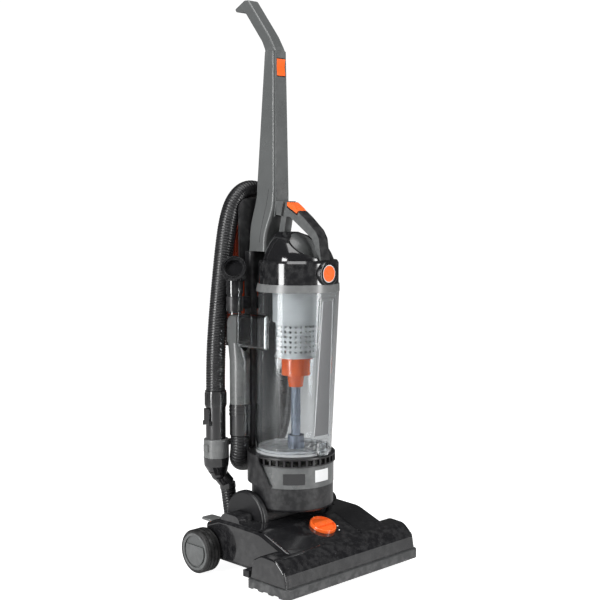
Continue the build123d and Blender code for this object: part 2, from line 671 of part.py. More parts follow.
def make_spine():
    """The black back: a flat column behind the cup that widens into a cradle round the motor cover."""
    width = SPINE_HALF_WIDTH
    spine = rounded_bar((-width, width), (SPINE_FRONT, SPINE_BACK), (SPINE_FOOT, SPINE_TOP), 8)
    spine += rounded_bar((-30, 30), (SPINE_FRONT, 84), (SPINE_BOTTOM, SPINE_FOOT + 1), 4)
    cradle = barrel((SPINE_BOTTOM, RING_TOP), RING_RADIUS + 4.5)
    slant = [(-30, SPINE_BOTTOM - 1), (4, RING_TOP + 1), (200, RING_TOP + 1), (200, SPINE_BOTTOM - 1)]
    cradle &= side_slab(side_face(slant), (-120, 120))
    spine += cradle
    spine -= barrel((0, RING_TOP + 2), RING_RADIUS + BODY_GAP)
    inside_y = (SPINE_FRONT + SHELL, SPINE_BACK - SHELL)
    spine -= rounded_bar((-width + SHELL, width - SHELL), inside_y, (RING_TOP + SHELL, SPINE_TOP - SHELL), 5)
    spine -= routed_tube("hose channel", HOSE_ROUTE[:7], HOSE_RADIUS + 1)
    plate = block((-PLATE_HALF_WIDTH, PLATE_HALF_WIDTH), (88.6, 92.6), (566, 722))
    plate = fillet(plate.edges().filter_by(Axis.Y), 24)
    spine += plate - rod((0, 80, UPPER_HOOK_Z), (0, 99, UPPER_HOOK_Z), HOOK_RADIUS + BODY_GAP)
    return spine + cord_hook(LOWER_HOOK_Z, SPINE_BACK - 1, -1)


def cord_hook(z, root_y, up):
    """A round post along +Y ending in a flat lip; up is 1 where the lip points up and -1 where down."""
    hook = rod((0, root_y + SEAM_GAP, z), (0, HOOK_END_Y, z), HOOK_RADIUS)
    oval = extrude(SlotOverall(76, 34, rotation=90), 2.6, both=True)
    lip = Pos(0, HOOK_END_Y - 2.6, z + up * 18) * Rot(90, 0, 0) * oval
    return hook + lip


def shaft_section(z, half_width, front, back, radius=5):
    """A rounded rectangle of the handle at height z."""
    place = Pos(0, (front + back) / 2, z)
    return place * RectangleRounded(2 * half_width, back - front, radius)


def switch_window():
    """The opening for the power switch, with the bore for its pin."""
    window = block((-11.2, 11.2), (20, 40), (SWITCH_Z[0] - 1.6, SWITCH_Z[1] + 1.6))
    return window + across((-13, 13), SWITCH_PIVOT_Y, sum(SWITCH_Z) / 2, 1.5 + RUNNING_FIT)


def make_handle_shell():
    """The tapering grey shaft that widens smoothly into its socket at the foot."""
    shaft = loft([shaft_section(SOCKET_TOP + 34, 18.5, 27.6, 79.7), shaft_section(HANDLE_BEND, 15, 31, 59.5)])
    sections = [
        (SPINE_TOP + SEAM_GAP, 33, 40, 88),
        (652, 30.5, 39, 87.5),
        (675, 27.5, 33.5, 86.5),
        (695, 23.5, 29, 84.5),
        (715, 20, 27.6, 82),
        (SOCKET_TOP + 34, 18.5, 27.6, 79.7),
    ]
    foot = loft([shaft_section(z, half, front, back, 6) for z, half, front, back in sections])
    shell = shaft + foot
    hollow = loft([shaft_section(SOCKET_TOP + 38, 13, 40, 72), shaft_section(HANDLE_BEND - 8, 11, 40, 55)])
    return shell - hollow - switch_window()


def make_handle_cover():
    """The front strip of the shaft, a little narrower than the shell behind it."""
    low = [(-16.6, 23.6), (16.6, 23.6), (16.6, 27.2), (-16.6, 27.2)]
    high = [(-13.4, 27.5), (13.4, 27.5), (13.4, 30.7), (-13.4, 30.7)]
    bottom = Pos(0, 0, SOCKET_TOP + 34) * Polygon(*low, align=None)
    top = Pos(0, 0, HANDLE_BEND) * Polygon(*high, align=None)
    cover = loft([bottom, top])
    toe_outline = [(23.6, 734), (27.2, 734), (27.2, 712), (30, 686), (27.4, 686), (23.6, 712)]
    toe = side_slab(side_face(toe_outline), (-16.6, 16.6))
    return cover + (toe - make_handle_shell()) - switch_window()


def make_grip():
    """The bent-back grip with a beak at its end that keeps the hand on it."""
    z = HANDLE_BEND + SEAM_GAP
    points = [
        (28, z),
        (33, z + 9),
        (46, z + 30),
        (106, 1109),
        (118, 1110),
        (146, 1096),
        (143, 1090),
        (121, 1088),
        (113, 1082),
        (67, z + 20),
        (59, z + 4),
        (58.5, z),
    ]
    face = side_face(points, [0, 20, 40, 5, 5, 2.5, 2.5, 6, 6, 30, 8, 0])
    grip = side_slab(face, (-14, 14))
    rims = [e for e in grip.edges() if abs(abs(e.center().X) - 14) < 0.1 and e.center().Z > z + 1]
    return fillet(rims, 3.5)


def make_power_switch():
    """The rocker at the top of the shaft's front, on its own pivot pin."""
    z = sum(SWITCH_Z) / 2
    half = (SWITCH_Z[1] - SWITCH_Z[0]) / 2
    points = [(31.5, z - half), (26.4, z - half), (28, z), (26.4, z + half), (31.5, z + half), (35, z)]
    rocker = side_slab(side_face(points), (-10.8, 10.8))
    rocker += across((-10.8, 10.8), SWITCH_PIVOT_Y, z, 3)
    return rocker + across((-12.6, 12.6), SWITCH_PIVOT_Y, z, 1.5)


def make_inlet_duct():
    """The grey duct that carries the air from the long hose round to the cup's inlet."""
    low, high = INLET_Z
    column_part = column(DUCT_X, DUCT_Y, (DUCT_BOTTOM, 405), DUCT_RADIUS)
    round_end = Pos(DUCT_X, DUCT_Y, 405) * Circle(DUCT_RADIUS)
    square_end = Pos(DUCT_X, 78.5, low + 8) * RectangleRounded(40, 32, 12)
    head = block((INLET_X[0] - 1, INLET_X[1] + 1), (INLET_FACE + 3.4, 94.5), (low + 8, high - 3))
    rear_top = [e for e in head.edges().filter_by(Axis.X) if e.center().Y > 90 and e.center().Z > 450]
    head = fillet(rear_top, 18)
    head = fillet_where(head, lambda c: c.Y > 80 and abs(c.X - DUCT_X) > 19, 8)
    duct = column_part + loft([round_end, square_end]) + head
    bore = column(DUCT_X, DUCT_Y, (DUCT_BOTTOM - 1, low + 30), DUCT_RADIUS - 4)
    mouth = block((INLET_X[0] + 3, INLET_X[1] - 3), (0, DUCT_Y + 12), (low + 12, high - 8))
    foot = block((-52, -SPINE_HALF_WIDTH - SEAM_GAP), (76, 90), (low + 6, low + 22))
    return duct + foot - bore - mouth


def make_duct_gasket():
    """The soft frame between the duct's mouth and the cup's inlet."""
    low, high = INLET_Z
    plate = block(INLET_X, (INLET_FACE + BODY_GAP, INLET_FACE + 3.2), (low + 6, high - 4))
    corners = [e for e in plate.edges().filter_by(Axis.Y)]
    plate = fillet(corners, 6)
    return plate - block((INLET_X[0] + 5, INLET_X[1] - 5), (0, 100), (low + 12, high - 10))


def make_duct_cuff():
    """The black collar that the long hose is bonded into, under the inlet duct."""
    cuff = column(DUCT_X, DUCT_Y, (CUFF_BOTTOM, DUCT_BOTTOM - SEAM_GAP), DUCT_RADIUS + 0.6)
    for step in range(3):
        low = DUCT_BOTTOM - 8 - 7 * step
        cuff += column(DUCT_X, DUCT_Y, (low, low + 3), DUCT_RADIUS + 1.8)
    cuff = fillet_where(cuff, lambda c: abs(c.Z - CUFF_BOTTOM) < 0.1, 2)
    return cuff - column(DUCT_X, DUCT_Y, (CUFF_BOTTOM + 6, DUCT_BOTTOM + 1), DUCT_RADIUS - 3)


def make_hose_cuff():
    """The two-step cuff on the hose's free end that plugs into the valve sleeve."""
    cuff = column(CUFF_X, CUFF_Y, (314, CUFF_TOP - SEAM_GAP), 21)
    cuff += column(CUFF_X, CUFF_Y, (SLEEVE_TOP, 315), 19.6)
    for step in range(24):
        rib = Rot(0, 0, 15 * step) * Pos(21, 0, 0) * Box(1.6, 1.8, 24)
        cuff += Pos(CUFF_X, CUFF_Y, 329) * rib
    cuff += column(CUFF_X, CUFF_Y, (SLEEVE_TOP - 16, SLEEVE_TOP + 1), 17)
    for side in (-1, 1):
        cuff += Pos(CUFF_X - 20.5, CUFF_Y + side * 8.7, TAB_PIN_Z) * Box(9, 2.4, 9)
    pin = ((TAB_PIN_X, CUFF_Y - 12, TAB_PIN_Z), (TAB_PIN_X, CUFF_Y + 12, TAB_PIN_Z))
    cuff -= rod(*pin, 1.2 + RUNNING_FIT)
    return cuff - column(CUFF_X, CUFF_Y, (SLEEVE_TOP - 20, 338), 14.5)


def make_hose_latch():
    """The spring tab on the cuff's outer side that locks it in the sleeve, on a pin between two ears."""
    tab = block((CUFF_X - 24.6, CUFF_X - 21.6), (CUFF_Y - 7, CUFF_Y + 7), (280, 312))
    tab = fillet([e for e in tab.edges().filter_by(Axis.Y) if e.center().X < CUFF_X - 24], 1.2)
    return tab + rod((TAB_PIN_X, CUFF_Y - 9.8, TAB_PIN_Z), (TAB_PIN_X, CUFF_Y + 9.8, TAB_PIN_Z), 1.2)


def make_valve_sleeve():
    """The grey collar that takes the hose cuff."""
    sleeve = column(SLEEVE_X, CUFF_Y, (SLEEVE_BOTTOM, SLEEVE_TOP - SEAM_GAP), 25)
    sleeve = fillet_where(sleeve, lambda c: c.Z > SLEEVE_TOP - 1, 3)
    sleeve += block((SLEEVE_X - 28, SLEEVE_X - 20), (CUFF_Y - 6, CUFF_Y + 6), (226, 240))
    sleeve += block((SLEEVE_X + 10, -22), (SPINE_BACK + SEAM_GAP, SPINE_BACK + 8), (236, 247))
    return sleeve - column(CUFF_X, CUFF_Y, (SLEEVE_BOTTOM - 1, SLEEVE_TOP + 1), 17.4)


def make_valve_elbow():
    """The dark bulb under the sleeve, with a bent neck and collar that take the lower hose."""
    top = Vector(*LOWER_HOSE_TOP)
    upward = (top - Vector(*LOWER_HOSE_BOTTOM)).normalized()
    middle = (SLEEVE_X + 6, CUFF_Y - 1, 179)
    rim = Pos(SLEEVE_X, CUFF_Y, SLEEVE_BOTTOM - SEAM_GAP) * Circle(25.5)
    waist = Pos(SLEEVE_X, CUFF_Y, 196) * Circle(24)
    elbow = loft([rim, waist]) + loft([waist, Pos(SLEEVE_X + 4, CUFF_Y - 1, 178) * Circle(17)])
    elbow += Pos(*middle) * Sphere(16.6)
    elbow += rod(middle, tuple(top + upward * 9), LOWER_HOSE_RADIUS)
    elbow += rod(tuple(top), tuple(top + upward * 10), LOWER_HOSE_RADIUS + 1)
    elbow -= rod(middle, tuple(top + upward * 5), LOWER_HOSE_RADIUS - 3)
    elbow -= rod(tuple(top - upward), tuple(top + upward * 8), LOWER_HOSE_RADIUS - 3)
    return elbow - column(SLEEVE_X, CUFF_Y, (middle[2] + 4, 230), 17.4)


def make_lower_hose():
    """The short ribbed hose that bends with the tilting body, shown plain."""
    return rod(LOWER_HOSE_TOP, LOWER_HOSE_BOTTOM, LOWER_HOSE_RADIUS)


def make_tool_holder():
    """The bracket on the spine's left side that holds the wand and its brush."""
    z = (WAND_Z[0] + 4, HOLDER_TOP)
    holder = column(WAND_X, WAND_Y, z, WAND_RADIUS + 4)
    holder += block((WAND_X, -SPINE_HALF_WIDTH - SEAM_GAP), (WAND_Y + 4, WAND_Y + 16), (z[0] + 2, z[1] - 2))
    return holder - column(WAND_X, WAND_Y, (0, 700), WAND_RADIUS + BODY_GAP)


def make_wand():
    """The short tool tube, thicker where it stops on the holder."""
    wand = column(WAND_X, WAND_Y, WAND_Z, WAND_RADIUS)
    wand += column(WAND_X, WAND_Y, (HOLDER_TOP + BODY_GAP, HOLDER_TOP + 5), WAND_RADIUS + 2.5)
    return wand - column(WAND_X, WAND_Y, (0, 700), WAND_RADIUS - 2.5)


def make_dusting_brush():
    """The round dusting brush: a neck over the wand and a tilted head that faces the front left."""
    facing = Vector(-0.66, -0.62, 0.42).normalized()
    neck = column(WAND_X, WAND_Y, (HOLDER_TOP + 5.5, 578), WAND_RADIUS + 4)
    centre = Vector(WAND_X, WAND_Y, 583)
    back, front = centre - facing * 12, centre + facing * 12
    head = rod(tuple(back), tuple(front), 25)
    brush = neck + head + Pos(WAND_X, WAND_Y, 578) * Sphere(WAND_RADIUS + 4)
    brush -= column(WAND_X, WAND_Y, (500, WAND_Z[1] + 1), WAND_RADIUS + BODY_GAP)
    return brush - rod(tuple(centre + facing * 3), tuple(centre + facing * 30), 17)


def make_cord_winding():
    """The closed outer shape of the cord wound round the two hooks."""
    low, high = LOWER_HOOK_Z, UPPER_HOOK_Z
    plane = Plane(origin=(0, WINDING_Y[0], (low + high) / 2), x_dir=(0, 0, 1), z_dir=(0, 1, 0))
    span = high - low
    ring = plane * SlotCenterToCenter(span, 2 * WINDING_OUTER)
    ring -= plane * SlotCenterToCenter(span, 2 * WINDING_INNER)
    winding = extrude(ring, amount=WINDING_Y[1] - WINDING_Y[0])
    front, back = WINDING_Y[0] + 0.1, WINDING_Y[1] - 0.1
    return fillet([e for e in winding.edges() if not front < e.center().Y < back], 4)


def make_strain_relief():
    """The tapered gland that the cord comes out of, low on the spine."""
    x, y, z = CORD_LEAD_ROUTE[0]
    gland = rod((x, SPINE_BACK + SEAM_GAP, z - 12), (x, y, z - 12), 8)
    gland += Pos(x, y, z - 12) * Sphere(8)
    body = loft([Pos(x, y, z - 12) * Circle(7.8), Pos(x, y, z) * Circle(5.4)])
    return gland + body


def make_plug():
    """The mains plug, its flat pins pointing down."""
    x, y, z = CORD_TAIL_ROUTE[-1]
    body = loft([Pos(x, y, z) * Circle(5.5), Pos(x, y, z - 12) * RectangleRounded(15, 24, 5)])
    body += extrude(Pos(x, y, z - 38) * RectangleRounded(15, 26, 5), amount=26)
    for offset_y in (-6.4, 6.4):
        body += block((x - 0.8, x + 0.8), (y + offset_y - 3, y + offset_y + 3), (z - 55, z - 38))
    return body


# ---------------------------------------------------------------- dust cup
def cup_radius(z):
    """The cup's outside radius at a height."""
    share = (z - CUP_BOTTOM) / (CUP_TOP - CUP_BOTTOM)
    return CUP_BOTTOM_RADIUS + share * (CUP_TOP_RADIUS - CUP_BOTTOM_RADIUS)


def cup_y(z):
    """Where the cup's axis is at a height."""
    share = (z - CUP_BOTTOM) / (CUP_TOP - CUP_BOTTOM)
    return CUP_BOTTOM_Y + share * (CUP_TOP_Y - CUP_BOTTOM_Y)


def cup_cone(z, inset):
    """A slice of the cup's leaning cone, its radius reduced by inset."""
    low, high = z
    return frustum(z, (cup_y(low), cup_radius(low) - inset), (cup_y(high), cup_radius(high) - inset))


def make_dust_cup():
    """The clear cup with its tangential inlet and the raised frame of its label."""
    inside_z = (CUP_BOTTOM - 1, CUP_TOP + 1)
    floor = CUP_BOTTOM + 5
    cup = cup_cone((floor, CUP_TOP), 0)
    frame = block((-20, 20), (-110, -60), (262, 534)) & cup_cone((floor, CUP_TOP), -2.2)
    duct = block(INLET_X, (-20, INLET_FACE), INLET_Z)
    duct = fillet(duct.edges().filter_by(Axis.Y), 7)
    duct = fillet_where(duct, lambda c: c.Y < -19 and c.X < INLET_X[0] + 8, 6)
    inside_x = (INLET_X[0] + CUP_WALL, INLET_X[1] - CUP_WALL)
    duct_inside = block(inside_x, (-14, 80), (INLET_Z[0] + CUP_WALL, INLET_Z[1] - CUP_WALL))
    duct_inside = fillet(duct_inside.edges().filter_by(Axis.Y), 5)
    ears = mirrored(block((13.5, 16.5), (LATCH_PIN_Y - 3, -76), (LATCH_PIN_Z - 3, LATCH_PIN_Z + 6)))
    cup += frame + duct + ears - across((-20, 20), LATCH_PIN_Y, LATCH_PIN_Z, 1.3 + RUNNING_FIT)
    return cup - cup_cone(inside_z, CUP_WALL) - duct_inside


def make_cup_door():
    """The bottom door with its hinge barrel at the back and a raised seal ring inside."""
    z = (CUP_BOTTOM, CUP_BOTTOM + 4.7)
    door = cup_cone(z, 0.6)
    door += barrel((z[0] + 4, z[0] + 9), CUP_BOTTOM_RADIUS - 5, CUP_BOTTOM_Y) - barrel(
        (0, 300), CUP_BOTTOM_RADIUS - 9, CUP_BOTTOM_Y
    )
    return door - barrel((z[0] - 1, z[0] + 1.6), 40, CUP_BOTTOM_Y)


def make_door_latch():
    """The latch lever at the front of the cup's foot."""
    front = CUP_BOTTOM_Y - CUP_BOTTOM_RADIUS
    lever = block((-13, 13), (front - 8.5, front - 2.6), (CUP_BOTTOM, CUP_BOTTOM + 26))
    lever = fillet(lever.edges().filter_by(Axis.Z), 2)
    lever = fillet([e for e in lever.edges().filter_by(Axis.X) if e.center().Y < front - 8], 1.6)
    return lever + across((-16.5, 16.5), LATCH_PIN_Y, LATCH_PIN_Z, 1.3)


def make_separator_shroud():
    """The perforated screen under a solid band, open inside."""
    shroud = barrel((484, 541), 45, SEPARATOR_Y) - barrel((480, 545), 42.5, SEPARATOR_Y)
    shroud += barrel((418, 486), 39, SEPARATOR_Y) - barrel((410, 490), 36.5, SEPARATOR_Y)
    shroud += barrel((484, 487), 43, SEPARATOR_Y) - barrel((480, 490), 38, SEPARATOR_Y)
    shroud += barrel((415, 418.5), 41, SEPARATOR_Y) - barrel((400, 430), 31, SEPARATOR_Y)
    slots = []
    for row in range(6):
        for step in range(24):
            place = Pos(0, SEPARATOR_Y, 428 + 9.6 * row) * Rot(0, 0, 15 * step) * Pos(38, 0, 0)
            slots.append(place * Box(8, 4.4, 4.6))
    return shroud - slots


def make_separator_cone():
    """The translucent cone that spins the fine dust out."""
    cone = barrel((380, 414.7), 28, SEPARATOR_Y) - barrel((384, 420), 25.5, SEPARATOR_Y)
    cone += frustum((357, 380.5), (SEPARATOR_Y, 14), (SEPARATOR_Y, 17))
    cone -= frustum((350, 390), (SEPARATOR_Y, 11), (SEPARATOR_Y, 14))
    return cone + (barrel((412, 414.7), 34, SEPARATOR_Y) - barrel((400, 420), 25.5, SEPARATOR_Y))


def make_centre_tube():
    """The fine-dust tube down to the bottom door."""
    z = (CUP_BOTTOM + 5, 356.7)
    tube = barrel(z, 9.2, SEPARATOR_Y)
    tube += barrel((z[0], z[0] + 26), 16, SEPARATOR_Y)
    return tube - barrel((0, 400), 7.2, SEPARATOR_Y) - barrel((0, z[0] + 23), 14, SEPARATOR_Y)


def make_cup_collar():
    """The grey band between the clear cup and the black lid."""
    foot = (CUP_TOP_Y, CUP_TOP_RADIUS + 0.9)
    collar = frustum((CUP_TOP + 0.2, COLLAR_TOP), foot, (LID_Y, LID_RADIUS + 1.6))
    return collar - column(0, LID_Y, (500, 600), 70)


HOOD_SECTIONS = [(603.8, -21, 68.5), (620, -19.5, 62.5), (636, -15, 52), (650, -1, 34), (657, 8, 20)]
SCOOP = [(-8, 680), (-9, 659), (-17, 652), (-30, 643), (-50, 630)]
SCOOP += [(-66, 619), (-86, 608), (-120, 604), (-120, 680)]
CAP_RADIUS = 57.0
CAP_CENTRE = (0, -3, 599)
LID_PLATE = 604.0
CARRY_OUTER = [(-92, 604.3), (-86, 646), (-77, 659), (-46, 684.5), (-6, 711.5), (6, 716), (22, 716)]
CARRY_INNER = [(22, 688), (-8, 686), (-67, 646), (-75, 634), (-80, 604.3)]
CARRY_RADII = [0, 12, 12, 60, 20, 4, 0, 4, 10, 6, 8, 0]
BUTTON_POCKET = [(-0.4, 703), (-0.4, 724), (-32, 724), (-32, 694.6), (-27.8, 688.5)]


def lid_drum(inset):
    """The drum at the foot of the lid, with its rounded top edge."""
    top = LID_PLATE - inset
    drum = column(0, LID_Y, (COLLAR_TOP + 0.2 - inset, top), LID_RADIUS - inset)
    return chamfer(drum.edges().group_by(Axis.Z)[-1], 5, 3)


def lid_hood(inset):
    """The leaning cone on top of the drum, flat at the back; inset gives the space inside it."""
    sections = [Pos(0, y, z - 0.6 * inset) * Circle(radius - inset) for z, y, radius in HOOD_SECTIONS]
    return loft(sections) - block((-100, 100), (38 - inset, 100), (SPINE_TOP - 8 - inset, 700))


def front_of_hood():
    """The space in front of the hood's swept edge, where the cap shows."""
    return side_slab(side_face(SCOOP), (-100, 100))


def make_cup_lid():
    """The black lid: a drum, an open-fronted hood, and the boss for the badge."""
    drum = lid_drum(0) - lid_drum(SHELL)
    inside = lid_hood(SHELL) & block((-100, 100), (-120, 100), (LID_PLATE, 700))
    lid = drum + (lid_hood(0) - inside - front_of_hood())
    boss = rod((0, -85, 580), (0, -104, 580), 24) - column(0, LID_Y, (500, 700), LID_RADIUS - SHELL)
    boss = fillet_where(boss, lambda c: c.Y < -103, 2.5)
    boss -= rod((0, -101.5, 580), (0, -110, 580), 17.4)
    boss -= block((-30, 30), (-120, -60), (540, COLLAR_TOP + 0.2))
    return lid + boss


def make_lid_cap():
    """The smooth grey dome that fills the open front of the hood."""
    dome = Pos(*CAP_CENTRE) * (Sphere(CAP_RADIUS) - Sphere(CAP_RADIUS - SHELL))
    room = lid_hood(SHELL + BODY_GAP) + (front_of_hood() & lid_hood(-12))
    return dome & room & block((-100, 100), (-120, 100), (LID_PLATE + 0.2, 700))


def make_carry_handle():
    """The grey handle over the lid: front leg, sloping bar, top arm and rear leg."""
    bar = side_slab(side_face(CARRY_OUTER + CARRY_INNER, CARRY_RADII), (-10.8, 10.8))
    end = side_slab(side_face([(4, 716), (23.4, 716), (23.4, 690), (10, 688)]), (-17, 17))
    leg = side_slab(side_face([(2, 690), (17, 690), (24, 654), (24, 640), (10, 640), (10, 652)]), (-9, 9))
    handle = bar + end + leg - side_slab(side_face(BUTTON_POCKET), (-20, 20))
    return handle - lid_hood(0) - lid_drum(0)


def make_carry_grip():
    """The black overmould along the outside of the carry handle."""
    points = [(-94.5, 604.3), (-88.5, 646), (-79, 661), (-47.5, 687), (-12, 711)]
    points += [(-12, 690), (-78, 640), (-84, 604.3)]
    skin = side_slab(side_face(points, [1, 12, 12, 60, 1, 0, 0, 0]), (-10.8, 10.8))
    bar = side_slab(side_face(CARRY_OUTER + CARRY_INNER, CARRY_RADII), (-11, 11))
    return skin - bar - side_slab(side_face(BUTTON_POCKET), (-20, 20))


def make_cup_release():
    """The wedge-shaped thumb button across the top of the carry handle."""
    points = [(-1, 707), (-1, 714.5), (-9, 713.5), (-26, 702.3), (-31, 697.5), (-27, 692.5)]
    return side_slab(side_face(points, [0.8, 2, 4, 3, 1.5, 0.8]), (-11.2, 11.2))


# ---------------------------------------------------------------- everything, written out
def main():
    """Writes every piece to its own file."""
    os.makedirs("parts", exist_ok=True)
    left_wheel = (-WHEEL_X[1], -WHEEL_X[0])
    parts = {
        "hood": make_hood(),
        "rear_deck": make_rear_deck(),
        "end_caps": make_end_caps(),
        "bumper": make_bumper(),
        "chassis": make_chassis(),
        "soleplate": make_soleplate(),
        "base_screws": make_base_screws(),
        "axle_pins": make_axle_pins(),
        "brush_bearings": make_brush_bearings(),
        "brush_roll": make_brush_roll(),
        "drive_belt": make_drive_belt(),
        "left_wheel_hub": make_wheel_hub(left_wheel),
        "left_wheel_tyre": make_wheel_tyre(left_wheel),
        "right_wheel_hub": make_wheel_hub(WHEEL_X),
        "right_wheel_tyre": make_wheel_tyre(WHEEL_X),
        "roller_carriage": make_roller_carriage(),
        "front_rollers": make_front_rollers(),
        "height_dial": make_height_dial(),
        "release_pedal": make_release_pedal(),
        "lower_housing": make_lower_housing(),
        "motor_cover": make_motor_cover(),
        "vent_ring": make_vent_ring(),
        "exhaust_filter": make_exhaust_filter(),
        "motor_can": make_motor_can(),
        "motor_rotor": make_motor_rotor(),
        "spine": make_spine(),
        "handle_shell": make_handle_shell(),
        "handle_cover": make_handle_cover(),
        "grip": make_grip(),
        "power_switch": make_power_switch(),
        "inlet_duct": make_inlet_duct(),
        "duct_gasket": make_duct_gasket(),
        "duct_cuff": make_duct_cuff(),
        "long_hose": routed_tube("long_hose", HOSE_ROUTE, HOSE_RADIUS),
        "hose_cuff": make_hose_cuff(),
        "hose_latch": make_hose_latch(),
        "valve_sleeve": make_valve_sleeve(),
        "valve_elbow": make_valve_elbow(),
        "lower_hose": make_lower_hose(),
        "tool_holder": make_tool_holder(),
        "wand": make_wand(),
        "dusting_brush": make_dusting_brush(),
        "upper_cord_hook": cord_hook(UPPER_HOOK_Z, 88, 1),
        "cord_winding": make_cord_winding(),
        "cord_lead": routed_tube("cord_lead", CORD_LEAD_ROUTE, CORD_RADIUS),
        "cord_tail": routed_tube("cord_tail", CORD_TAIL_ROUTE, CORD_RADIUS),
        "strain_relief": make_strain_relief(),
        "plug": make_plug(),
        "dust_cup": make_dust_cup(),
        "cup_door": make_cup_door(),
        "door_latch": make_door_latch(),
        "separator_shroud": make_separator_shroud(),
        "separator_cone": make_separator_cone(),
        "centre_tube": make_centre_tube(),
        "cup_collar": make_cup_collar(),
        "cup_lid": make_cup_lid(),
        "lid_cap": make_lid_cap(),
        "carry_handle": make_carry_handle(),
        "carry_grip": make_carry_grip(),
        "cup_release": make_cup_release(),
    }
    for name, shape in parts.items():
        write(name, shape)


main()
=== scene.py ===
"""The looks of an upright vacuum cleaner: materials, hoses, cord, bristles and small trim."""
import bpy
import bmesh
from math import cos, pi, radians, sin, sqrt
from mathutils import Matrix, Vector, noise


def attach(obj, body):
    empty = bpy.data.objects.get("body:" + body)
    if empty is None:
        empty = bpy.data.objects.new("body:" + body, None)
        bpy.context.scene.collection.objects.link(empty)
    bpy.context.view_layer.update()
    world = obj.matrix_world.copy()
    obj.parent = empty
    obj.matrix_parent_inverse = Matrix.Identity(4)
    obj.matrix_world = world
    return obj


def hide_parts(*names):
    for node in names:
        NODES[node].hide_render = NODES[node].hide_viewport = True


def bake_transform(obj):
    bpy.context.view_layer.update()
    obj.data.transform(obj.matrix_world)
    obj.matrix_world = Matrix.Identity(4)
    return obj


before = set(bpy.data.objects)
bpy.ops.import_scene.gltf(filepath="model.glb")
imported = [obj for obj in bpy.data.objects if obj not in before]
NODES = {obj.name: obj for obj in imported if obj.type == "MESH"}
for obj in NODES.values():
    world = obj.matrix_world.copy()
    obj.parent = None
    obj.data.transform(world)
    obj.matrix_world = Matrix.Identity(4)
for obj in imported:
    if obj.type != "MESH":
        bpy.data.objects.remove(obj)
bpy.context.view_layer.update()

# The CAD was laid out about the cup's seat and moved back by this much, in millimetres.
SHIFT = 15.45


def at(x, y, z):
    """A point of the CAD layout, in millimetres, as a point of the frame in metres."""
    return Vector((x, y + SHIFT, z)) / 1000


# ---------------------------------------------------------------- camera
YAW = radians(44.62)
PITCH = radians(4.80)
camera_data = bpy.data.cameras.new("camera")
camera_data.lens = 67.14
camera_data.sensor_width = 36
camera_data.clip_end = 30
camera = bpy.data.objects.new("camera", camera_data)
bpy.context.scene.collection.objects.link(camera)
camera.location = at(-1511.14, -1556.46, 706.55)
looking = Vector((sin(YAW) * cos(PITCH), cos(YAW) * cos(PITCH), -sin(PITCH)))
camera.rotation_euler = looking.to_track_quat("-Z", "Y").to_euler()
bpy.context.scene.camera = camera


# ---------------------------------------------------------------- materials
def new_material(name):
    """A material with its nodes, links and main shader."""
    material = bpy.data.materials.new(name)
    material.use_nodes = True
    nodes = material.node_tree.nodes
    return material, nodes, material.node_tree.links, nodes["Principled BSDF"]


def noise_node(nodes, links, vector, scale, detail=4.0, stretch=None):
    """A noise texture in object space, stretched along an axis where stretch is given."""
    node = nodes.new("ShaderNodeTexNoise")
    node.inputs["Scale"].default_value = scale
    node.inputs["Detail"].default_value = detail
    if stretch:
        mapping = nodes.new("ShaderNodeMapping")
        mapping.inputs["Scale"].default_value = stretch
        links.new(vector, mapping.inputs["Vector"])
        vector = mapping.outputs["Vector"]
    links.new(vector, node.inputs["Vector"])
    return node.outputs["Fac"]


def ramp(nodes, links, factor, low, high, low_value, high_value):
    """A clamped linear remap of a factor."""
    node = nodes.new("ShaderNodeMapRange")
    node.inputs["From Min"].default_value = low
    node.inputs["From Max"].default_value = high
    node.inputs["To Min"].default_value = low_value
    node.inputs["To Max"].default_value = high_value
    links.new(factor, node.inputs["Value"])
    return node.outputs["Result"]


def mix_colour(nodes, links, factor, first, second):
    """A blend of two colours, each a plain colour or a node's output."""
    node = nodes.new("ShaderNodeMix")
    node.data_type = "RGBA"
    links.new(factor, node.inputs["Factor"])
    for socket, value in ((node.inputs[6], first), (node.inputs[7], second)):
        if isinstance(value, tuple):
            socket.default_value = (*value, 1)
        else:
            links.new(value, socket)
    return node.outputs[2]


def scaled(colour, share):
    """A colour made lighter or darker."""
    return tuple(min(1.0, c * share) for c in colour)


